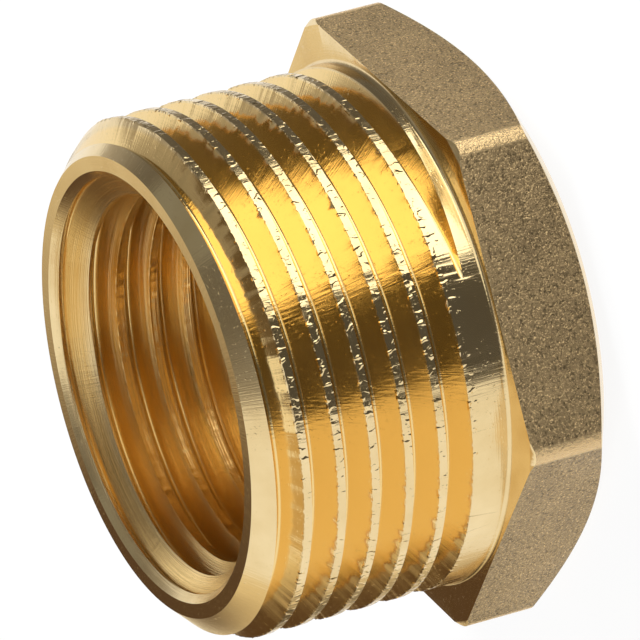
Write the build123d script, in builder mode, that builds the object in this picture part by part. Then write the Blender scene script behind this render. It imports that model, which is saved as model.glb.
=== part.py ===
from build123d import *
import math
import os

# Hex reducing bushing for threaded pipe: a hexagon head, a spigot with a male pipe thread,
# and a bore for a female pipe thread from end to end. It is turned from one piece.
# Frame: +Z along the thread axis, origin in the middle of the head's flat back face,
# spigot up, two corners of the hexagon on the X axis. Millimetres and degrees.

# Head
across_flats = 26.85
hex_height = 5.6
hex_corner_radius = 0.9
back_face_diameter = 24.2
back_chamfer_angle = 30.0

# Spigot
spigot_length = 13.15
spigot_end_diameter = 23.1
spigot_chamfer_angle = 45.0

# Male thread: 3/4 inch pipe, 14 threads to the inch, right-handed, on a blank turned a little small
male_major_diameter = 26.2
male_thread_depth = 1.0415
male_pitch = 1.814
male_root_flat = 0.3
male_flank_angle = 55.0
male_run_out_height = 1.41
male_run_out_azimuth = 325.0
male_run_out_angle = 51.0

# Bore, at the minor diameter of the 1/2 inch female pipe thread
bore_diameter = 18.631
end_mouth_diameter = 21.6
back_mouth_diameter = 21.8
mouth_angle = 45.0

# Method: the cutter stands this far proud of the blank, and its helix has three edges to a turn
CUTTER_OVERSHOOT = 0.12
EDGES_PER_TURN = 3

overall_length = hex_height + spigot_length
corner_reach = across_flats / math.sqrt(3)
male_radius = male_major_diameter / 2
male_root_radius = male_radius - male_thread_depth
bore_radius = bore_diameter / 2


def rise(wide_diameter, narrow_diameter, angle):
    """How far a cone of this slope climbs between two diameters."""
    return (wide_diameter - narrow_diameter) / 2 * math.tan(math.radians(angle))


def azimuth_frame(azimuth, height):
    """A level frame on the thread axis at this height, its X axis turned to this azimuth."""
    direction = (math.cos(math.radians(azimuth)), math.sin(math.radians(azimuth)), 0)
    return Plane(origin=(0, 0, height), x_dir=direction, z_dir=(0, 0, 1))


def helix_edges(frame, radius, pitch, turns):
    """A right-handed helix that climbs from this frame's X axis."""
    edge_rise = pitch / EDGES_PER_TURN
    edge_turn = 360 / EDGES_PER_TURN
    return [
        Helix(pitch=pitch, height=edge_rise, radius=radius)
        .moved(Location((0, 0, step * edge_rise), (0, 0, step * edge_turn)))
        .moved(frame.location)
        for step in range(turns * EDGES_PER_TURN)
    ]


# Male groove: full depth from above the spigot's end down to the run-out, where the tool
# swings out of the metal along a wider arc that is tangent to the helix.
male_frame = azimuth_frame(male_run_out_azimuth, hex_height + male_run_out_height)
male_turns = math.ceil((spigot_length - male_run_out_height) / male_pitch) + 1
male_helix = helix_edges(male_frame, male_root_radius, male_pitch, male_turns)
exit_reach = male_radius + CUTTER_OVERSHOOT
exit_swing = math.radians(male_run_out_angle)
exit_offset = (exit_reach**2 - male_root_radius**2) / (2 * (male_root_radius - exit_reach * math.cos(exit_swing)))
exit_arc = math.atan2(exit_reach * math.sin(exit_swing), exit_offset + exit_reach * math.cos(exit_swing))
exit_plane = Plane(
    origin=male_frame.from_local_coords((-exit_offset, 0, 0)),
    x_dir=male_frame.x_dir,
    z_dir=male_frame.x_dir.cross(male_helix[0] % 0),
)
groove_depth = exit_reach - male_root_radius
groove_mouth = male_root_flat / 2 + groove_depth * math.tan(math.radians(male_flank_angle / 2))
with BuildPart() as male_groove:
    with BuildLine(exit_plane) as exit_line:
        CenterArc((0, 0), exit_offset + male_root_radius, -math.degrees(exit_arc), math.degrees(exit_arc))
    exit_start = exit_line.line @ 0
    with BuildSketch(Plane(origin=exit_start, x_dir=exit_start - exit_plane.origin, z_dir=exit_line.line % 0)):
        with BuildLine():
            Polyline(
                (0, -male_root_flat / 2),
                (0, male_root_flat / 2),
                (groove_depth, groove_mouth),
                (groove_depth, -groove_mouth),
                close=True,
            )
        make_face()
    sweep(path=exit_line.edges() + male_helix, is_frenet=True)

with BuildPart() as hex_bushing:
    # Head: a hexagon with soft corners inside a turned envelope that slopes at the back
    with BuildSketch():
        RegularPolygon(across_flats / 2, 6, major_radius=False)
    extrude(amount=hex_height)
    fillet(hex_bushing.edges().filter_by(Axis.Z), hex_corner_radius)
    with BuildSketch(Plane.XZ):
        with BuildLine():
            Polyline(
                (0, 0),
                (back_face_diameter / 2, 0),
                (corner_reach, rise(2 * corner_reach, back_face_diameter, back_chamfer_angle)),
                (corner_reach, hex_height),
                (0, hex_height),
                close=True,
            )
        make_face()
    revolve(axis=Axis.Z, mode=Mode.INTERSECT)

    # Spigot blank with a sloping end
    spigot_chamfer_rise = rise(male_major_diameter, spigot_end_diameter, spigot_chamfer_angle)
    with BuildSketch(Plane.XZ):
        with BuildLine():
            Polyline(
                (0, 0),
                (male_radius, 0),
                (male_radius, overall_length - spigot_chamfer_rise),
                (spigot_end_diameter / 2, overall_length),
                (0, overall_length),
                close=True,
            )
        make_face()
    revolve(axis=Axis.Z)

    # Bore, with a sloping mouth at each end
    with BuildSketch(Plane.XZ):
        with BuildLine():
            Polyline(
                (0, 0),
                (back_mouth_diameter / 2, 0),
                (bore_radius, rise(back_mouth_diameter, bore_diameter, mouth_angle)),
                (bore_radius, overall_length - rise(end_mouth_diameter, bore_diameter, mouth_angle)),
                (end_mouth_diameter / 2, overall_length),
                (0, overall_length),
                close=True,
            )
        make_face()
    revolve(axis=Axis.Z, mode=Mode.SUBTRACT)

    add(male_groove.part, mode=Mode.SUBTRACT, clean=False)

os.makedirs("parts", exist_ok=True)
hex_bushing.part.label = "hex_bushing"
export_step(hex_bushing.part, "parts/hex_bushing.step")
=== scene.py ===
import math
import random

import bmesh
import bpy
from mathutils import Matrix, Vector, noise


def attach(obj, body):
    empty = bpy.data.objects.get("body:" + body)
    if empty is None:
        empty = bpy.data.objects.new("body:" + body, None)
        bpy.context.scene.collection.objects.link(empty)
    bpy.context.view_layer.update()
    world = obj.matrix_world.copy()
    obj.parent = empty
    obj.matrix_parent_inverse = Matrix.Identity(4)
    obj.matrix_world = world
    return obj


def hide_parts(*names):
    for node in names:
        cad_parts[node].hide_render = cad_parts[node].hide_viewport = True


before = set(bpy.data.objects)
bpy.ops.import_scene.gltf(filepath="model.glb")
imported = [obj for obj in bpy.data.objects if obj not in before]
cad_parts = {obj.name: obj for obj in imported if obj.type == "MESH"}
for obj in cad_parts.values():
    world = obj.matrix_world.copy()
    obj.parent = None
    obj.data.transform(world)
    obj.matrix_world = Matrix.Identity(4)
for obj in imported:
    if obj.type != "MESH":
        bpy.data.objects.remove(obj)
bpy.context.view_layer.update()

bl_info = {
    "name": "Hex Bushing",
    "version": (1, 0, 0),
    "blender": (4, 5, 0),
    "location": "3D View > Sidebar > Hex Bushing",
    "description": "Builds a threaded brass reducing bushing and the studio around it",
    "category": "Object",
}

MM = 0.001

# The shapes are worked out in millimetres, and turned into metres when a piece is finished.
WELD_GAP = 0.0004
BEND_STEPS = 6
RING_STEPS = 360
CHAMFER_SLOPE = math.tan(math.radians(30))
# The turned ring and the hexagonal bar stand out past each other by these before one is cut to the other.
RING_SPARE = 0.3
BAR_SPARE = 1.0
CORNER_SEGMENTS = 8
WORN_SEGMENTS = 2

# The shallow groove turned in the bore's mouth: how far in from the mouth's edge and down from the end face.
MOUTH_GROOVE = ((0.38, 0.38), (0.22, 0.46), (0.22, 0.62), (0.52, 0.72))

# A pipe thread's flanks lean by half of 55 degrees, and its root radius is a share of the pitch. The roots
# here are cut tighter than the standard's by the last factor.
HALF_FLANK = math.radians(27.5)
ROOT_RADIUS_SHARE = 0.137329
ROOT_TIGHTNESS = 0.6

# Each flank has a row of points at this depth below the crest. It keeps the torn edge from bending the whole
# flank. The small lift off the straight flank keeps the cut from merging the row away.
CUTTER_REACH = 0.15
MALE_ROW_DEPTH = 0.08
FEMALE_ROW_DEPTH = 0.12
ROW_LIFT = 0.003
MALE_STEPS = 440
FEMALE_STEPS = 220
RUN_OUT_STEPS = 60

# Torn crests of the outside thread: the share of their points that is torn, and the least and most that a
# point rises outward or leans along the axis.
TEAR_SEED = 4
TORN_SHARE = 0.4
TORN_RISE = (-0.045, 0.03)
PLAIN_RISE = (-0.008, 0.008)
TORN_LEAN = (-0.04, 0.04)
LOWER_EDGE_RISE_SHARE = 0.25
LOWER_EDGE_LEAN = -0.09
# Between the tears the edges wander with a noise, which runs this fast around the axis and along it.
WANDER_AROUND = 60
WANDER_ALONG = 0.9
UPPER_EDGE_WANDER = 0.02
LOWER_EDGE_WANDER = 0.01

# The inside thread's crests are rounded, except this close to the back and to the end.
CREST_ROUNDING = 0.045
PLAIN_AT_BACK = 2
PLAIN_AT_END = 1.6

SMOOTH_BELOW = math.radians(27)
TURNED_MATERIAL = 0
SIDE_MATERIAL = 1


# Sizes and colours that a user would change

class BushingSizes(bpy.types.PropertyGroup):
    """Sizes of the bushing, in metres and radians."""
    across_flats: bpy.props.FloatProperty(
        name="Across flats", description="Width of the hexagon over two flats", default=0.02685,
        unit="LENGTH"
    )
    head_height: bpy.props.FloatProperty(
        name="Head height", description="Thickness of the hexagon", default=0.0056, unit="LENGTH"
    )
    corner_radius: bpy.props.FloatProperty(
        name="Corner radius", description="Rounding of the hexagon's upright corners", default=0.0009,
        unit="LENGTH"
    )
    edge_softness: bpy.props.FloatProperty(
        name="Edge softness", description="Width of the worn edge around the head", default=0.00007,
        unit="LENGTH"
    )
    back_face_diameter: bpy.props.FloatProperty(
        name="Back face diameter", description="Flat ring inside the back chamfer", default=0.0242,
        unit="LENGTH"
    )
    shoulder_diameter: bpy.props.FloatProperty(
        name="Shoulder diameter", description="Flat ring inside the corner facets", default=0.0301,
        unit="LENGTH"
    )
    overall_length: bpy.props.FloatProperty(
        name="Overall length", description="From the back face to the end face", default=0.01875,
        unit="LENGTH"
    )
    end_diameter: bpy.props.FloatProperty(
        name="End diameter", description="Outside of the end face", default=0.0231, unit="LENGTH"
    )
    foot_radius: bpy.props.FloatProperty(
        name="Foot radius", description="Fillet between the shoulder and the spigot", default=0.00022,
        unit="LENGTH"
    )
    end_mouth: bpy.props.FloatProperty(
        name="End mouth", description="Bore countersink at the threaded end", default=0.0216,
        unit="LENGTH"
    )
    back_mouth: bpy.props.FloatProperty(
        name="Back mouth", description="Bore countersink at the back", default=0.0218, unit="LENGTH"
    )
    pitch: bpy.props.FloatProperty(
        name="Pitch", description="Distance between two turns of either thread", default=0.001814,
        unit="LENGTH"
    )
    male_major: bpy.props.FloatProperty(
        name="Male major", description="Diameter over the outside thread's crests", default=0.0262,
        unit="LENGTH"
    )
    male_minor: bpy.props.FloatProperty(
        name="Male minor", description="Diameter at the outside thread's roots", default=0.0237,
        unit="LENGTH"
    )
    run_out_height: bpy.props.FloatProperty(
        name="Run-out height", description="Height of the groove where it starts to rise out",
        default=0.00701, unit="LENGTH"
    )
    run_out_azimuth: bpy.props.FloatProperty(
        name="Run-out azimuth", description="Where the groove starts to rise out", default=math.radians(325),
        subtype="ANGLE"
    )
    run_out_angle: bpy.props.FloatProperty(
        name="Run-out angle", description="Angle over which the groove rises out", default=math.radians(51),
        subtype="ANGLE"
    )
    female_major: bpy.props.FloatProperty(
        name="Female major", description="Diameter at the inside thread's roots", default=0.020955,
        unit="LENGTH"
    )
    female_minor: bpy.props.FloatProperty(
        name="Female minor", description="Diameter over the inside thread's crests", default=0.018631,
        unit="LENGTH"
    )
    female_azimuth: bpy.props.FloatProperty(
        name="Female azimuth", description="Where the inside groove starts", default=math.radians(32),
        subtype="ANGLE"
    )


class BushingFinish(bpy.types.PropertyGroup):
    """Colours and roughness of the metal and the floor."""
    turned_colour: bpy.props.FloatVectorProperty(
        name="Turned brass", description="Colour of the bright turned faces", default=(0.88, 0.69, 0.38),
        subtype="COLOR", size=3, min=0, max=1
    )
    # Painted bounced light: a deeper gold for the grooves, standing in for light bounced between the flanks.
    groove_bounce_colour: bpy.props.FloatVectorProperty(
        name="Groove brass", description="Colour of the freshly cut thread grooves",
        default=(0.9, 0.65, 0.28), subtype="COLOR", size=3, min=0, max=1
    )
    blasted_colour: bpy.props.FloatVectorProperty(
        name="Blasted brass", description="Colour of the matt hexagon flats", default=(0.315, 0.225, 0.115),
        subtype="COLOR", size=3, min=0, max=1
    )
    turned_roughness: bpy.props.FloatProperty(
        name="Turned roughness", description="Roughness of the turned faces", default=0.16, min=0, max=1
    )
    blasted_roughness: bpy.props.FloatProperty(
        name="Blasted roughness", description="Roughness of the hexagon flats", default=0.36, min=0, max=1
    )
    floor_colour: bpy.props.FloatVectorProperty(
        name="Floor", description="Colour of the studio floor", default=(0.97, 0.97, 0.97),
        subtype="COLOR", size=3, min=0, max=1
    )


# Mesh helpers, in millimetres until the piece is finished

def mm(value):
    return value / MM


def around(radius, azimuth, height):
    return Vector((radius * math.cos(azimuth), radius * math.sin(azimuth), height))


def radius_of(point):
    return math.hypot(point.x, point.y)


def verts_of(geom):
    return [part for part in geom if isinstance(part, bmesh.types.BMVert)]


def corners_of(parts):
    """The vertices of these edges or faces, each once and always in the same order."""
    return list(dict.fromkeys(vert for part in parts for vert in part.verts))


def arc(centre, radius, start, end, steps):
    """Points along an arc, from one angle in degrees to the other."""
    turn = math.radians(end - start)
    angles = [math.radians(start) + turn * step / steps for step in range(steps + 1)]
    return [(centre[0] + radius * math.cos(angle), centre[1] + radius * math.sin(angle)) for angle in angles]


def outline_loop(bm, points, azimuth, height):
    """A closed outline of (radius, height) points, standing on the thread axis at this azimuth."""
    verts = [bm.verts.new(around(radius, azimuth, height + rise)) for radius, rise in points]
    return [bm.edges.new((verts[i], verts[i - 1])) for i in range(len(verts))]


def spin_loop(bm, loop, centre, angle, steps, climb):
    geom = loop + corners_of(loop)
    step_climb = (0, 0, climb / steps)
    bmesh.ops.spin(bm, geom=geom, cent=centre, axis=(0, 0, 1), angle=angle, steps=steps, dvec=step_climb)


def stack_turns(bm, loop, turns, steps, pitch):
    """A screw surface: one turn spun from the loop, then copied turn by turn and joined."""
    before = set(bm.faces)
    spin_loop(bm, loop, (0, 0, 0), math.tau, steps, pitch)
    turn = [face for face in bm.faces if face not in before]
    geom = turn + list(dict.fromkeys(edge for face in turn for edge in face.edges)) + corners_of(turn)
    for count in range(1, turns):
        copy = bmesh.ops.duplicate(bm, geom=geom)
        bmesh.ops.translate(bm, vec=(0, 0, pitch * count), verts=verts_of(copy["geom"]))
    bmesh.ops.remove_doubles(bm, verts=bm.verts, dist=WELD_GAP)


def cap_ends(bm):
    bmesh.ops.holes_fill(bm, edges=[edge for edge in bm.edges if edge.is_boundary], sides=0)
    bmesh.ops.recalc_face_normals(bm, faces=bm.faces)


def weld_seam(bm):
    bmesh.ops.remove_doubles(bm, verts=bm.verts, dist=WELD_GAP)
    bmesh.ops.recalc_face_normals(bm, faces=bm.faces)


def sharp_edges(bm, least_degrees, wanted):
    """Edges where two faces meet at this angle or more, with both ends at points that are wanted."""
    return [
        edge
        for edge in bm.edges
        if len(edge.link_faces) == 2
        and edge.calc_face_angle(0) >= math.radians(least_degrees)
        and all(wanted(vert.co) for vert in edge.verts)
    ]


def bevel_edges(bm, edges, width, segments):
    bmesh.ops.bevel(
        bm, geom=edges, offset=width, offset_type="OFFSET", segments=segments, profile=0.5, affect="EDGES",
        material=-1, clamp_overlap=True
    )


def mesh_object(bm, name):
    mesh = bpy.data.meshes.new(name)
    bm.to_mesh(mesh)
    bm.free()
    piece = bpy.data.objects.new(name, mesh)
    bpy.context.scene.collection.objects.link(piece)
    return piece


# The bushing

def turned_ring(s):
    """The turned ring that everything is cut from."""
    rim = mm(s.across_flats) / math.sqrt(3) + RING_SPARE
    back = mm(s.back_face_diameter) / 2
    shoulder = mm(s.shoulder_diameter) / 2
    crest = mm(s.male_major) / 2
    end = mm(s.end_diameter) / 2
    bore = mm(s.female_minor) / 2
    head = mm(s.head_height)
    length = mm(s.overall_length)
    foot = mm(s.foot_radius)
    mouth = mm(s.end_mouth) / 2
    back_mouth = mm(s.back_mouth) / 2
    points = [
        (bore, back_mouth - bore),
        (back_mouth, 0),
        (back, 0),
        (rim, (rim - back) * CHAMFER_SLOPE),
        (rim, head - (rim - shoulder) * CHAMFER_SLOPE),
        (shoulder, head),
    ]
    points += arc((crest + foot, head + foot), foot, 270, 180, BEND_STEPS)
    points += [(crest, length - (crest - end)), (end, length), (mouth, length)]
    points += [(mouth - inward, length - down) for inward, down in MOUTH_GROOVE]
    points.append((bore, length - (mouth - bore)))
    bm = bmesh.new()
    spin_loop(bm, outline_loop(bm, points, 0, 0), (0, 0, 0), math.tau, RING_STEPS, 0)
    weld_seam(bm)
    return mesh_object(bm, "blank")


def hexagon_bar(s):
    """A hexagonal bar with rounded corners, one of them on the X axis."""
    bm = bmesh.new()
    made = bmesh.ops.create_circle(bm, cap_ends=True, segments=6, radius=mm(s.across_flats) / math.sqrt(3))
    first = made["verts"][0].co
    turn = Matrix.Rotation(-math.atan2(first.y, first.x), 3, "Z")
    bmesh.ops.transform(bm, matrix=turn.to_4x4(), verts=bm.verts)
    bmesh.ops.translate(bm, vec=(0, 0, -BAR_SPARE), verts=bm.verts)
    top = bmesh.ops.extrude_face_region(bm, geom=bm.faces[:])
    bmesh.ops.translate(bm, vec=(0, 0, mm(s.overall_length) + 2 * BAR_SPARE), verts=verts_of(top["geom"]))
    upright = [edge for edge in bm.edges if abs(edge.verts[0].co.z - edge.verts[1].co.z) > BAR_SPARE]
    bevel_edges(bm, upright, mm(s.corner_radius) * math.tan(math.radians(30)), CORNER_SEGMENTS)
    bmesh.ops.recalc_face_normals(bm, faces=bm.faces)
    return mesh_object(bm, "hexagon")


def groove_points(root, opening, pitch, row):
    """Outline of a thread groove with a rounded root, its flanks split once at the row's radius."""
    way = 1 if opening > root else -1
    rounding = ROOT_RADIUS_SHARE * ROOT_TIGHTNESS * pitch
    centre = root + way * rounding
    swing = 90 - math.degrees(HALF_FLANK)
    bend_depth = rounding * (1 - math.sin(HALF_FLANK))
    bend_rise = rounding * math.cos(HALF_FLANK)
    mouth = bend_rise + (abs(opening - root) - bend_depth) * math.tan(HALF_FLANK)
    split = bend_rise + (abs(row - root) - bend_depth) * math.tan(HALF_FLANK) + ROW_LIFT
    bend = [
        (centre - way * inward, rise)
        for inward, rise in arc((0, 0), rounding, -swing, swing, BEND_STEPS)
    ]
    return [(opening, -mouth), (row, -split)] + bend + [(row, split), (opening, mouth)]


def male_cutter(s):
    """The outside groove. Its last turn leaves the spigot along an arc that is centred beyond the axis."""
    root = mm(s.male_minor) / 2
    crest = mm(s.male_major) / 2
    reach = crest + CUTTER_REACH
    pitch = mm(s.pitch)
    start = s.run_out_azimuth
    swing = s.run_out_angle
    height = mm(s.run_out_height)
    offset = (reach**2 - root**2) / (2 * (root - reach * math.cos(swing)))
    exit_turn = math.atan2(reach * math.sin(swing), offset + reach * math.cos(swing))
    drop = exit_turn * (offset + root) * pitch / (math.tau * root)
    bm = bmesh.new()
    loop = outline_loop(bm, groove_points(root, reach, pitch, crest - MALE_ROW_DEPTH), start, height)
    spin_loop(bm, loop, around(-offset, start, 0), -exit_turn, RUN_OUT_STEPS, -drop)
    turns = math.ceil((mm(s.overall_length) - height) / pitch) + 1
    stack_turns(bm, loop, turns, MALE_STEPS, pitch)
    cap_ends(bm)
    return mesh_object(bm, "male_groove")


def female_cutter(s):
    """The inside groove, which runs out through both ends of the bore."""
    crest = mm(s.female_minor) / 2
    pitch = mm(s.pitch)
    points = groove_points(mm(s.female_major) / 2, crest - CUTTER_REACH, pitch, crest + FEMALE_ROW_DEPTH)
    bm = bmesh.new()
    loop = outline_loop(bm, points, s.female_azimuth, -pitch)
    turns = math.ceil(mm(s.overall_length) / pitch) + 2
    stack_turns(bm, loop, turns, FEMALE_STEPS, pitch)
    cap_ends(bm)
    return mesh_object(bm, "female_groove")


def combine(piece, other, operation):
    """The piece with the other cut from it or kept to it; the other is used up."""
    modifier = piece.modifiers.new("cut", "BOOLEAN")
    modifier.operation = operation
    modifier.solver = "MANIFOLD"
    modifier.object = other
    bpy.context.view_layer.update()
    graph = bpy.context.evaluated_depsgraph_get()
    mesh = bpy.data.meshes.new_from_object(piece.evaluated_get(graph))
    piece.modifiers.remove(modifier)
    old = piece.data
    piece.data = mesh
    bpy.data.meshes.remove(old)
    bpy.data.objects.remove(other)
    if len(mesh.polygons) < RING_STEPS:
        raise RuntimeError("A cut of the bushing failed")


def soften_head(piece, s):
    """Worn edges around the hexagon, before the threads are cut."""
    bm = bmesh.new()
    bm.from_mesh(piece.data)
    flat = mm(s.across_flats) / 2
    head = mm(s.head_height)
    edges = sharp_edges(bm, 20, lambda point: radius_of(point) > flat - 0.02 and point.z < head + 0.01)
    bevel_edges(bm, edges, mm(s.edge_softness), WORN_SEGMENTS)
    bm.to_mesh(piece.data)
    bm.free()


def round_bore_crests(bm, s):
    """A small rounding along the crests of the inside thread, clear of the bore's countersinks."""
    crest = mm(s.female_minor) / 2
    low = PLAIN_AT_BACK
    high = mm(s.overall_length) - PLAIN_AT_END
    edges = sharp_edges(bm, 35, lambda point: abs(radius_of(point) - crest) < 0.004 and low < point.z < high)
    bevel_edges(bm, edges, CREST_ROUNDING, WORN_SEGMENTS)


def tear_crests(bm, s):
    """Crests left ragged and chipped by the cutting tool, mostly along their upper edge."""
    crest = mm(s.male_major) / 2
    pitch = mm(s.pitch)
    low = mm(s.run_out_height)
    chance = random.Random(TEAR_SEED)
    for vert in bm.verts:
        if abs(radius_of(vert.co) - crest) > 0.01 or vert.co.z < low:
            continue
        azimuth = math.atan2(vert.co.y, vert.co.x)
        turn = (azimuth - s.run_out_azimuth) / math.tau
        upper = ((vert.co.z - low) / pitch - turn) % 1 > 0.5
        place = around(WANDER_AROUND, azimuth, vert.co.z * WANDER_ALONG)
        wander = noise.noise(place) + 0.5 * noise.noise(place * 2.1)
        patch = 0.8 + 0.7 * noise.noise(place * 0.05)
        torn = chance.random() < TORN_SHARE
        rise = chance.uniform(*(TORN_RISE if torn else PLAIN_RISE)) * patch
        lean = UPPER_EDGE_WANDER * wander * patch + (chance.uniform(*TORN_LEAN) if torn else 0.0)
        if not upper:
            rise *= LOWER_EDGE_RISE_SHARE
            lean = LOWER_EDGE_WANDER * wander + LOWER_EDGE_LEAN
        scale = 1 + rise / crest
        vert.co = Vector((vert.co.x * scale, vert.co.y * scale, vert.co.z + lean))


def finish_piece(piece, s, materials):
    """Torn and rounded crests, a material and shading for each region, and metres."""
    bm = bmesh.new()
    bm.from_mesh(piece.data)
    tear_crests(bm, s)
    round_bore_crests(bm, s)
    flat = mm(s.across_flats) / 2
    head = mm(s.head_height)
    crest = mm(s.male_major) / 2
    for face in bm.faces:
        centre = face.calc_center_median()
        radius = radius_of(centre)
        on_crest = crest - 0.1 < radius < crest + 0.1 and centre.z > mm(s.run_out_height)
        on_side = radius > flat - 0.1 and centre.z < head - 0.02 and abs(face.normal.z) < 0.3
        face.smooth = not on_crest
        face.material_index = SIDE_MATERIAL if on_side else TURNED_MATERIAL
    bmesh.ops.scale(bm, vec=(MM, MM, MM), verts=bm.verts)
    piece.data.materials.clear()
    for material in materials:
        piece.data.materials.append(material)
    bm.to_mesh(piece.data)
    bm.free()
    piece.data.set_sharp_from_angle(angle=SMOOTH_BELOW)


# Node helpers

def feed(tree, socket, value):
    """Link another socket into this one, or set a plain number or colour on it."""
    if isinstance(value, bpy.types.NodeSocket):
        tree.links.new(value, socket)
    elif isinstance(value, tuple):
        socket.default_value = (*value, 1.0)
    else:
        socket.default_value = value


def maths(tree, operation, *values):
    node = tree.nodes.new("ShaderNodeMath")
    node.operation = operation
    for socket, value in zip(node.inputs, values):
        feed(tree, socket, value)
    return node.outputs[0]


def product(tree, first, second):
    return maths(tree, "MULTIPLY", first, second)


def total(tree, first, second):
    return maths(tree, "ADD", first, second)


def vector_of(tree, x, y, z):
    node = tree.nodes.new("ShaderNodeCombineXYZ")
    for socket, value in zip(node.inputs, (x, y, z)):
        feed(tree, socket, value)
    return node.outputs[0]


def noise_value(tree, vector, scale, detail, roughness=0.5):
    node = tree.nodes.new("ShaderNodeTexNoise")
    node.inputs["Scale"].default_value = scale
    node.inputs["Detail"].default_value = detail
    node.inputs["Roughness"].default_value = roughness
    tree.links.new(vector, node.inputs["Vector"])
    return node.outputs["Fac"]


def ramp(tree, value, start, end, first=0.0, last=1.0):
    """The first number up to the start, the last from the end on, and a straight blend between."""
    node = tree.nodes.new("ShaderNodeMapRange")
    node.inputs["From Min"].default_value = start
    node.inputs["From Max"].default_value = end
    node.inputs["To Min"].default_value = first
    node.inputs["To Max"].default_value = last
    tree.links.new(value, node.inputs["Value"])
    return node.outputs["Result"]


def mixed_colour(tree, factor, first, second):
    node = tree.nodes.new("ShaderNodeMix")
    node.data_type = "RGBA"
    tree.links.new(factor, node.inputs["Factor"])
    for label, value in (("A", first), ("B", second)):
        socket = next(item for item in node.inputs if item.name == label and item.type == "RGBA")
        feed(tree, socket, value)
    return next(item for item in node.outputs if item.type == "RGBA")


def bump(tree, height, strength, distance, normal=None):
    node = tree.nodes.new("ShaderNodeBump")
    node.inputs["Strength"].default_value = strength
    node.inputs["Distance"].default_value = distance
    tree.links.new(height, node.inputs["Height"])
    if normal is not None:
        tree.links.new(normal, node.inputs["Normal"])
    return node.outputs["Normal"]


def object_place(tree):
    return tree.nodes.new("ShaderNodeTexCoord").outputs["Object"]


def turned_coordinates(tree, place):
    """Radius and height in millimetres, and azimuth in radians."""
    split = tree.nodes.new("ShaderNodeSeparateXYZ")
    tree.links.new(place, split.inputs[0])
    x, y, z = split.outputs
    square = total(tree, product(tree, x, x), product(tree, y, y))
    radius = product(tree, maths(tree, "SQRT", square), 1 / MM)
    return radius, product(tree, z, 1 / MM), maths(tree, "ARCTAN2", y, x)


def tinted(colour, shares):
    """The colour with each channel multiplied by its share, and no channel above 1."""
    return tuple(min(1.0, channel * share) for channel, share in zip(colour, shares))


def principled(name):
    """A new material, its node tree and its Principled shader."""
    material = bpy.data.materials.new(name)
    material.use_nodes = True
    return material, material.node_tree, material.node_tree.nodes["Principled BSDF"]


# Materials

def turning_marks_group(pitch):
    """Marks of the lathe tool: fine rings with chatter across them, and streaks along the thread."""
    group = bpy.data.node_groups.new("turning_marks", "ShaderNodeTree")
    for label, value in (("Rings per mm", 9.0), ("Chatter", 0.3)):
        socket = group.interface.new_socket(label, in_out="INPUT", socket_type="NodeSocketFloat")
        socket.default_value = value
    for label in ("Height", "Variation", "Streaks"):
        group.interface.new_socket(label, in_out="OUTPUT", socket_type="NodeSocketFloat")
    entry = group.nodes.new("NodeGroupInput")
    leave = group.nodes.new("NodeGroupOutput")
    place = object_place(group)
    radius, height, azimuth = turned_coordinates(group, place)
    across = total(group, radius, height)
    sway = product(group, maths(group, "SINE", azimuth), 1.2)
    ring_place = vector_of(group, product(group, across, entry.outputs["Rings per mm"]), sway, 0.0)
    rings = product(group, noise_value(group, ring_place, scale=1.0, detail=2.0), 0.08)
    stroke_place = vector_of(group, product(group, azimuth, 115.0), product(group, height, 0.6), 3.0)
    strokes = noise_value(group, stroke_place, scale=1.0, detail=1.0)
    chatter = product(group, strokes, entry.outputs["Chatter"])
    group.links.new(total(group, rings, chatter), leave.inputs["Height"])
    group.links.new(noise_value(group, place, scale=350.0, detail=3.0), leave.inputs["Variation"])
    climbed = maths(group, "SUBTRACT", across, product(group, azimuth, pitch / math.tau))
    streak_place = vector_of(group, product(group, climbed, 12.0), product(group, azimuth, 0.4), 7.0)
    streaks = noise_value(group, streak_place, scale=1.0, detail=2.0, roughness=0.6)
    group.links.new(streaks, leave.inputs["Streaks"])
    return group


def groove_mask(tree, s, radius, height):
    """1 in the grooves of both threads, 0 on the crests, the end chamfer, the end face and the mouth."""
    crest = mm(s.male_major) / 2
    end = mm(s.end_diameter) / 2
    mouth = mm(s.end_mouth) / 2
    length = mm(s.overall_length)
    below_crest = ramp(tree, radius, crest - 0.05, crest - 0.12)
    below_chamfer = ramp(tree, total(tree, radius, height), length + end - 0.05, length + end - 0.15)
    off_end_face = ramp(tree, radius, end - 0.05, end + 0.05)
    outside = product(tree, product(tree, below_crest, below_chamfer), off_end_face)
    within_mouth = ramp(tree, radius, mouth - 0.25, mouth - 0.3)
    off_countersink = ramp(
        tree, maths(tree, "SUBTRACT", radius, height), mouth - length + 0.02, mouth - length + 0.1
    )
    return maths(tree, "MAXIMUM", outside, product(tree, within_mouth, off_countersink))


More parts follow.
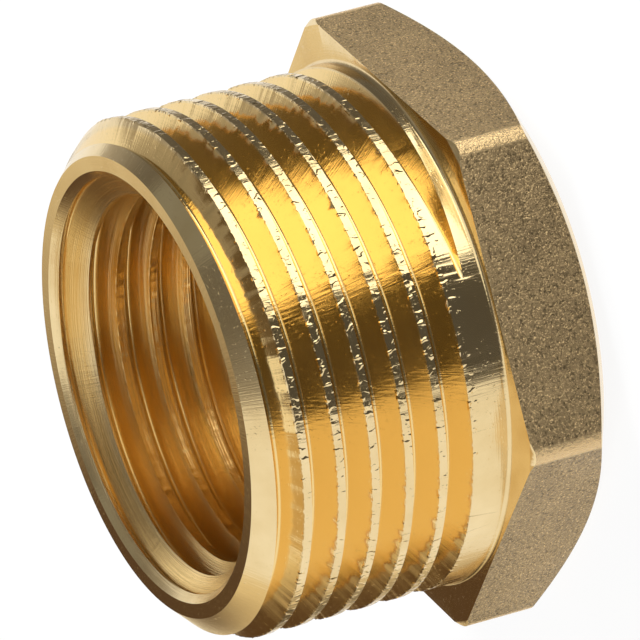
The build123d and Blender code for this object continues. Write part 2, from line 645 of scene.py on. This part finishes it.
def turned_brass(s, finish):
    """Bright turned brass with beaded torn crests; the grooves are painted a deeper gold for bounced light.
    """
    material, tree, shader = principled("turned_brass")
    marks = tree.nodes.new("ShaderNodeGroup")
    marks.node_tree = turning_marks_group(mm(s.pitch))
    marks.inputs["Rings per mm"].default_value = 12.0
    marks.inputs["Chatter"].default_value = 1.0
    variation = marks.outputs["Variation"]
    place = object_place(tree)
    radius, height, azimuth = turned_coordinates(tree, place)
    crest = mm(s.male_major) / 2
    mouth = mm(s.end_mouth) / 2
    run_out = mm(s.run_out_height)

    colour = tuple(finish.turned_colour)
    darker = tinted(colour, (0.9, 0.86, 0.78))
    plain_colour = mixed_colour(tree, ramp(tree, variation, 0.35, 0.7), colour, darker)
    # The grooves of both threads get the deeper gold of painted bounced light.
    grooved = groove_mask(tree, s, radius, height)
    base = mixed_colour(tree, grooved, plain_colour, tuple(finish.groove_bounce_colour))
    tree.links.new(base, shader.inputs["Base Color"])

    rough = finish.turned_roughness
    plain_rough = ramp(tree, variation, start=0.3, end=0.7, first=rough * 0.8, last=rough * 1.25)
    bore_rough = ramp(tree, radius, start=mouth + 0.05, end=mouth - 0.2, first=0.0, last=0.07)
    tree.links.new(total(tree, plain_rough, bore_rough), shader.inputs["Roughness"])

    on_crest = ramp(tree, radius, crest - 0.12, crest - 0.06)
    threaded = ramp(tree, height, run_out + 0.19, run_out + 0.59)
    bead_place = vector_of(tree, product(tree, azimuth, 48.0), product(tree, height, 2.5), 0.0)
    beads = ramp(tree, noise_value(tree, bead_place, scale=1.0, detail=0.5), 0.56, 0.8)
    torn = product(tree, beads, product(tree, on_crest, threaded))
    streak_share = ramp(tree, radius, start=mouth - 0.2, end=mouth - 0.35, first=0.15, last=1.0)
    streaks = product(tree, marks.outputs["Streaks"], streak_share)
    specks = ramp(tree, noise_value(tree, place, scale=6500.0, detail=1.0), 0.68, 0.78)
    normal = bump(tree, streaks, strength=0.6, distance=0.00004)
    normal = bump(tree, marks.outputs["Height"], strength=0.2, distance=0.00003, normal=normal)
    normal = bump(tree, specks, strength=0.3, distance=0.00002, normal=normal)
    normal = bump(tree, torn, strength=0.7, distance=0.00006, normal=normal)
    tree.links.new(normal, shader.inputs["Normal"])
    shader.inputs["Metallic"].default_value = 1.0
    return material


def blasted_brass(s, finish):
    """Hexagon flats: a blasted skin with pits, painted glints, and painted highlights on the rounded corners.
    """
    material, tree, shader = principled("blasted_brass")
    place = object_place(tree)
    radius = turned_coordinates(tree, place)[0]
    sharp_corner = mm(s.across_flats) / math.sqrt(3)
    corner_reach = sharp_corner - mm(s.corner_radius) * (1 / math.cos(math.radians(30)) - 1)
    # The band along each rounded corner, which gets a painted highlight and a smoother finish.
    corner = ramp(tree, radius, corner_reach - 0.1426, corner_reach - 0.0626)
    coarse = noise_value(tree, place, scale=6000.0, detail=2.0, roughness=0.6)
    fine = noise_value(tree, place, scale=11000.0, detail=2.0, roughness=0.6)
    patch = noise_value(tree, place, scale=500.0, detail=4.0, roughness=0.6)

    colour = tuple(finish.blasted_colour)
    worn = mixed_colour(tree, ramp(tree, patch, 0.35, 0.7), colour, tinted(colour, (1.25, 1.25, 1.25)))
    pits = ramp(tree, coarse, start=0.50, end=0.32, first=0.0, last=0.8)
    pitted = mixed_colour(tree, pits, worn, tinted(colour, (0.3, 0.3, 0.3)))
    # Painted glints on the fine grains, and a painted highlight along the rounded corners.
    bright = maths(tree, "MAXIMUM", ramp(tree, fine, 0.54, 0.70), product(tree, corner, 0.8))
    base = mixed_colour(tree, bright, pitted, tinted(colour, (2.6, 2.6, 2.6)))
    tree.links.new(base, shader.inputs["Base Color"])

    normal = bump(tree, fine, strength=1.0, distance=0.00005)
    normal = bump(tree, coarse, strength=1.0, distance=0.00008, normal=normal)
    tree.links.new(normal, shader.inputs["Normal"])
    rough = finish.blasted_roughness
    tree.links.new(ramp(tree, corner, 0.0, 1.0, rough, rough * 0.6), shader.inputs["Roughness"])
    shader.inputs["Metallic"].default_value = 0.8
    shader.inputs["Specular IOR Level"].default_value = 0.2
    return material


# Studio, in millimetres

# The camera's axes, and how far the shoulder's centre lies from the camera along each of them.
CAMERA_RIGHT = Vector((-0.24478, -0.38067, -0.89173))
CAMERA_DOWN = Vector((-0.96917, 0.06934, 0.23644))
CAMERA_AHEAD = Vector((-0.02817, 0.92211, -0.38591))
SHOULDER_SEEN = Vector((3.2323, 0.1784, 495.44))
SHOULDER_CENTRE = Vector((0, 0, 5.6))
FOCAL_PIXELS = 10120.0
RENDER_PIXELS = 640
SENSOR_WIDTH = 36

# Strength of the light that falls on the object from all around. Rays that see the background meet 1, white.
ROOM_LIGHT = 0.32
# The floor lies just under the back face, so that the two don't coincide.
FLOOR_GAP = 0.03
FLOOR_HALF_WIDTH = 1500
FLOOR_WHITENESS = 0.9

# The cards stand around the object as in a light tent laid on its side: HIGH is their way up.
HIGH = Vector((0.8424, -0.5396, 0.0)).normalized()
SIDE = Vector((0, 0, 1))
AHEAD = HIGH.cross(SIDE)
TENT_CENTRE = Vector((0, 0, 9))
DOME_REACH = 160.0
DOME_COLOUR = (1.0, 0.95, 0.9)
DOME_LEVEL = 0.09
DOME_RINGS = 24
DOME_STEPS = 72
DOME_HEM_DEGREES = 2
DOME_RISE_DEGREES = 87.9
LAMP_REACH = 150
LAMP_SIZE = 120

# Name, elevation, azimuth, width and height in degrees, reach in millimetres, colour, strength
SOFT_WHITE = (1.0, 1.0, 0.95)
CARDS = (
    ("main_softbox", 72, 160, 58, 58, 140, SOFT_WHITE, 2.1),
    ("side_softbox", 33, -27, 34, 24, 135, SOFT_WHITE, 0.25),
    ("top_fill", 52, 45, 60, 34, 138, SOFT_WHITE, 1.1),
    ("front_shade", -3, -22, 44, 26, 120, (0.12, 0.09, 0.065), 1.0),
    # The table card below is painted shade: a brown card that darkens the table as the lower flanks mirror
    # it.
    ("table_painted_shade", -30, -8, 30, 26, 100, (0.62, 0.45, 0.22), 1.0),
)

# Name, elevation, azimuth, radius and reach in millimetres, colour. The colour holds out to the core's share
# of the radius and then fades to the rim's colour. These are painted shadow: dark cards that stand for the
# object's own shadow on the table, as the metal mirrors it. The rim's warm colour is painted shade too.
SHADE_RIM = (0.85, 0.73, 0.5)
SHADE_CORE_SHARE = 0.42
SHADE_FADED_SHARE = 0.97
SHADES = (
    ("under_shade", -80, -125, 25, 66, (0.05, 0.035, 0.02)),
    ("low_shade", -50, -52, 44, 66, (0.10, 0.06, 0.035)),
)

# Name, way out from the object, power in watts
LAMPS = (
    ("upper_lamp", (0.95, 0.0, 0.3), 0.7),
    ("table_bounce", (-0.95, 0.0, 0.3), 0.25),
)


def add_camera():
    data = bpy.data.cameras.new("camera")
    data.sensor_width = SENSOR_WIDTH
    data.lens = FOCAL_PIXELS * SENSOR_WIDTH / RENDER_PIXELS
    data.clip_start = 0.01
    camera = bpy.data.objects.new("camera", data)
    bpy.context.scene.collection.objects.link(camera)
    axes = Matrix((CAMERA_RIGHT, -CAMERA_DOWN, -CAMERA_AHEAD)).transposed()
    seen = SHOULDER_SEEN.x * CAMERA_RIGHT + SHOULDER_SEEN.y * CAMERA_DOWN + SHOULDER_SEEN.z * CAMERA_AHEAD
    camera.matrix_world = Matrix.Translation((SHOULDER_CENTRE - seen) * MM) @ axes.to_4x4()
    bpy.context.scene.camera = camera


def background_seen(tree):
    """1 for the rays that should meet a white background."""
    path = tree.nodes.new("ShaderNodeLightPath")
    seen = maths(tree, "MAXIMUM", path.outputs["Is Camera Ray"], path.outputs["Is Glossy Ray"])
    return maths(tree, "MAXIMUM", seen, path.outputs["Is Transmission Ray"])


def add_world():
    world = bpy.data.worlds.new("studio")
    bpy.context.scene.world = world
    world.use_nodes = True
    tree = world.node_tree
    shader = tree.nodes["Background"]
    tree.links.new(ramp(tree, background_seen(tree), 0, 1, ROOM_LIGHT, 1.0), shader.inputs["Strength"])
    shader.inputs["Color"].default_value = (1, 1, 1, 1)


def add_floor(finish):
    """A pale floor that nearly glows to white where it is seen, and keeps the object's shadow."""
    bm = bmesh.new()
    bmesh.ops.create_grid(bm, x_segments=1, y_segments=1, size=FLOOR_HALF_WIDTH)
    bmesh.ops.translate(bm, vec=(0, 0, -FLOOR_GAP), verts=bm.verts)
    bmesh.ops.scale(bm, vec=(MM, MM, MM), verts=bm.verts)
    floor = mesh_object(bm, "floor")
    material, tree, shader = principled("floor_paper")
    shader.inputs["Base Color"].default_value = (*finish.floor_colour, 1)
    shader.inputs["Roughness"].default_value = 0.9
    shader.inputs["Specular IOR Level"].default_value = 0.0
    white = tree.nodes.new("ShaderNodeEmission")
    mix = tree.nodes.new("ShaderNodeMixShader")
    tree.links.new(ramp(tree, background_seen(tree), 0, 1, 0.0, FLOOR_WHITENESS), mix.inputs[0])
    tree.links.new(shader.outputs[0], mix.inputs[1])
    tree.links.new(white.outputs[0], mix.inputs[2])
    tree.links.new(mix.outputs[0], tree.nodes["Material Output"].inputs["Surface"])
    floor.data.materials.append(material)
    floor.visible_glossy = False


def tent_direction(elevation, azimuth):
    level = math.cos(math.radians(elevation))
    turn = math.radians(azimuth)
    flat = math.cos(turn) * SIDE + math.sin(turn) * AHEAD
    return level * flat + math.sin(math.radians(elevation)) * HIGH


def glow_of(material):
    return material.node_tree.nodes["Emission"]


def glowing(name, colour, strength):
    """A new material that only gives off light."""
    material = bpy.data.materials.new(name)
    material.use_nodes = True
    tree = material.node_tree
    tree.nodes.clear()
    output = tree.nodes.new("ShaderNodeOutputMaterial")
    shader = tree.nodes.new("ShaderNodeEmission")
    shader.inputs["Color"].default_value = (*colour, 1)
    shader.inputs["Strength"].default_value = strength
    tree.links.new(shader.outputs[0], output.inputs["Surface"])
    return material


def place_card(bm, name, material):
    """A stage object that only reflections see."""
    bmesh.ops.scale(bm, vec=(MM, MM, MM), verts=bm.verts)
    card = mesh_object(bm, name)
    card.data.materials.append(material)
    for flag in ("visible_camera", "visible_diffuse", "visible_shadow", "visible_transmission"):
        setattr(card, flag, False)
    return card


def add_card(name, elevation, azimuth, width, height, reach, colour, strength):
    """A flat glowing or dark card that faces the object."""
    outward = tent_direction(elevation, azimuth)
    across = HIGH.cross(outward).normalized()
    rise = outward.cross(across)
    half_width = reach * math.tan(math.radians(width / 2))
    half_height = reach * math.tan(math.radians(height / 2))
    axes = Matrix((across * half_width, rise * half_height, outward)).transposed()
    bm = bmesh.new()
    bmesh.ops.create_grid(bm, x_segments=1, y_segments=1, size=1)
    bmesh.ops.transform(bm, matrix=axes.to_4x4(), verts=bm.verts)
    bmesh.ops.translate(bm, vec=TENT_CENTRE + outward * reach, verts=bm.verts)
    return place_card(bm, name, glowing(name, colour, strength))


def add_shade(name, elevation, azimuth, radius, reach, colour):
    """A soft round card of painted shadow, which fades out to a warm painted shade at its rim."""
    card_angle = math.degrees(2 * math.atan(radius / reach))
    card = add_card(name, elevation, azimuth, card_angle, card_angle, reach, colour, 1.0)
    material = card.data.materials[0]
    tree = material.node_tree
    apart = tree.nodes.new("ShaderNodeVectorMath")
    apart.operation = "DISTANCE"
    tree.links.new(object_place(tree), apart.inputs[0])
    apart.inputs[1].default_value = (TENT_CENTRE + tent_direction(elevation, azimuth) * reach) * MM
    fade = ramp(tree, apart.outputs["Value"], SHADE_CORE_SHARE * radius * MM, SHADE_FADED_SHARE * radius * MM)
    tree.links.new(mixed_colour(tree, fade, colour, SHADE_RIM), glow_of(material).inputs["Color"])


def toward(tree, place, direction):
    """How far a point of the dome lies along this direction: 1 straight along it, 0 square to it."""
    dot = tree.nodes.new("ShaderNodeVectorMath")
    dot.operation = "DOT_PRODUCT"
    tree.links.new(place, dot.inputs[0])
    dot.inputs[1].default_value = direction / (DOME_REACH * MM)
    return dot.outputs["Value"]


def add_dome():
    """A dark cloth dome over the object: bright metal needs something dark to mirror."""
    bm = bmesh.new()
    angles = [
        math.radians(DOME_HEM_DEGREES + DOME_RISE_DEGREES * ring / DOME_RINGS)
        for ring in range(DOME_RINGS + 1)
    ]
    verts = [
        bm.verts.new((DOME_REACH * math.cos(angle), 0, DOME_REACH * math.sin(angle)))
        for angle in angles
    ]
    geom = verts + [bm.edges.new(pair) for pair in zip(verts, verts[1:])]
    bmesh.ops.spin(
        bm, geom=geom, cent=(0, 0, 0), axis=(0, 0, 1), angle=math.tau, steps=DOME_STEPS, use_merge=True
    )
    axes = Matrix((SIDE, AHEAD, HIGH)).transposed()
    bmesh.ops.transform(bm, matrix=axes.to_4x4(), verts=bm.verts)
    bmesh.ops.translate(bm, vec=TENT_CENTRE, verts=bm.verts)
    material = glowing("dome_cloth", DOME_COLOUR, 1.0)
    tree = material.node_tree
    place = object_place(tree)
    hem_glow = ramp(tree, toward(tree, place, HIGH), start=0.0, end=0.4, first=0.42, last=0.06)
    front_share = ramp(tree, toward(tree, place, tent_direction(0, -45)), start=-0.2, end=0.7)
    level = total(tree, product(tree, hem_glow, front_share), DOME_LEVEL)
    tree.links.new(level, glow_of(material).inputs["Strength"])
    place_card(bm, "dome", material)


def add_lamp(name, way_out, energy):
    """A broad lamp that only lights the matt faces."""
    outward = Vector(way_out).normalized()
    data = bpy.data.lights.new(name, "AREA")
    data.shape = "DISK"
    data.size = LAMP_SIZE * MM
    data.energy = energy
    lamp = bpy.data.objects.new(name, data)
    bpy.context.scene.collection.objects.link(lamp)
    lamp.location = (TENT_CENTRE + outward * LAMP_REACH) * MM
    lamp.rotation_euler = outward.to_track_quat("Z", "Y").to_euler()
    lamp.visible_glossy = False


# Operators

class BUSHING_OT_body(bpy.types.Operator):
    """Cut the bushing from a turned ring: hexagon, both threads and their finishes"""
    bl_idname = "bushing.body"
    bl_label = "Bushing"

    def execute(self, context):
        sizes = context.scene.bushing_sizes
        finish = context.scene.bushing_finish
        piece = turned_ring(sizes)
        combine(piece, hexagon_bar(sizes), "INTERSECT")
        soften_head(piece, sizes)
        combine(piece, male_cutter(sizes), "DIFFERENCE")
        combine(piece, female_cutter(sizes), "DIFFERENCE")
        piece.name = "bushing"
        piece.data.name = "bushing"
        finish_piece(piece, sizes, (turned_brass(sizes, finish), blasted_brass(sizes, finish)))
        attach(piece, "root")
        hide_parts("hex_bushing")
        return {"FINISHED"}


class BUSHING_OT_studio(bpy.types.Operator):
    """Set up the camera, the light and the floor"""
    bl_idname = "bushing.studio"
    bl_label = "Studio"

    def execute(self, context):
        context.scene.view_settings.view_transform = "Standard"
        add_camera()
        add_world()
        add_floor(context.scene.bushing_finish)
        add_dome()
        for card in CARDS:
            add_card(*card)
        for shade in SHADES:
            add_shade(*shade)
        for lamp in LAMPS:
            add_lamp(*lamp)
        return {"FINISHED"}


class BUSHING_PT_panel(bpy.types.Panel):
    """Lists the sizes, the finish and the steps that build the bushing"""
    bl_idname = "BUSHING_PT_panel"
    bl_label = "Hex Bushing"
    bl_space_type = "VIEW_3D"
    bl_region_type = "UI"
    bl_category = "Hex Bushing"

    def draw(self, context):
        layout = self.layout
        for settings in (context.scene.bushing_sizes, context.scene.bushing_finish):
            for label in settings.__annotations__:
                layout.prop(settings, label)
        layout.operator(BUSHING_OT_body.bl_idname)
        layout.operator(BUSHING_OT_studio.bl_idname)


CLASSES = (BushingSizes, BushingFinish, BUSHING_OT_body, BUSHING_OT_studio, BUSHING_PT_panel)


def register():
    for item in CLASSES:
        bpy.utils.register_class(item)
    bpy.types.Scene.bushing_sizes = bpy.props.PointerProperty(type=BushingSizes)
    bpy.types.Scene.bushing_finish = bpy.props.PointerProperty(type=BushingFinish)


def unregister():
    del bpy.types.Scene.bushing_finish
    del bpy.types.Scene.bushing_sizes
    for item in reversed(CLASSES):
        bpy.utils.unregister_class(item)


def main():
    register()
    bpy.ops.bushing.body()
    bpy.ops.bushing.studio()


if __name__ == "__main__":
    main()
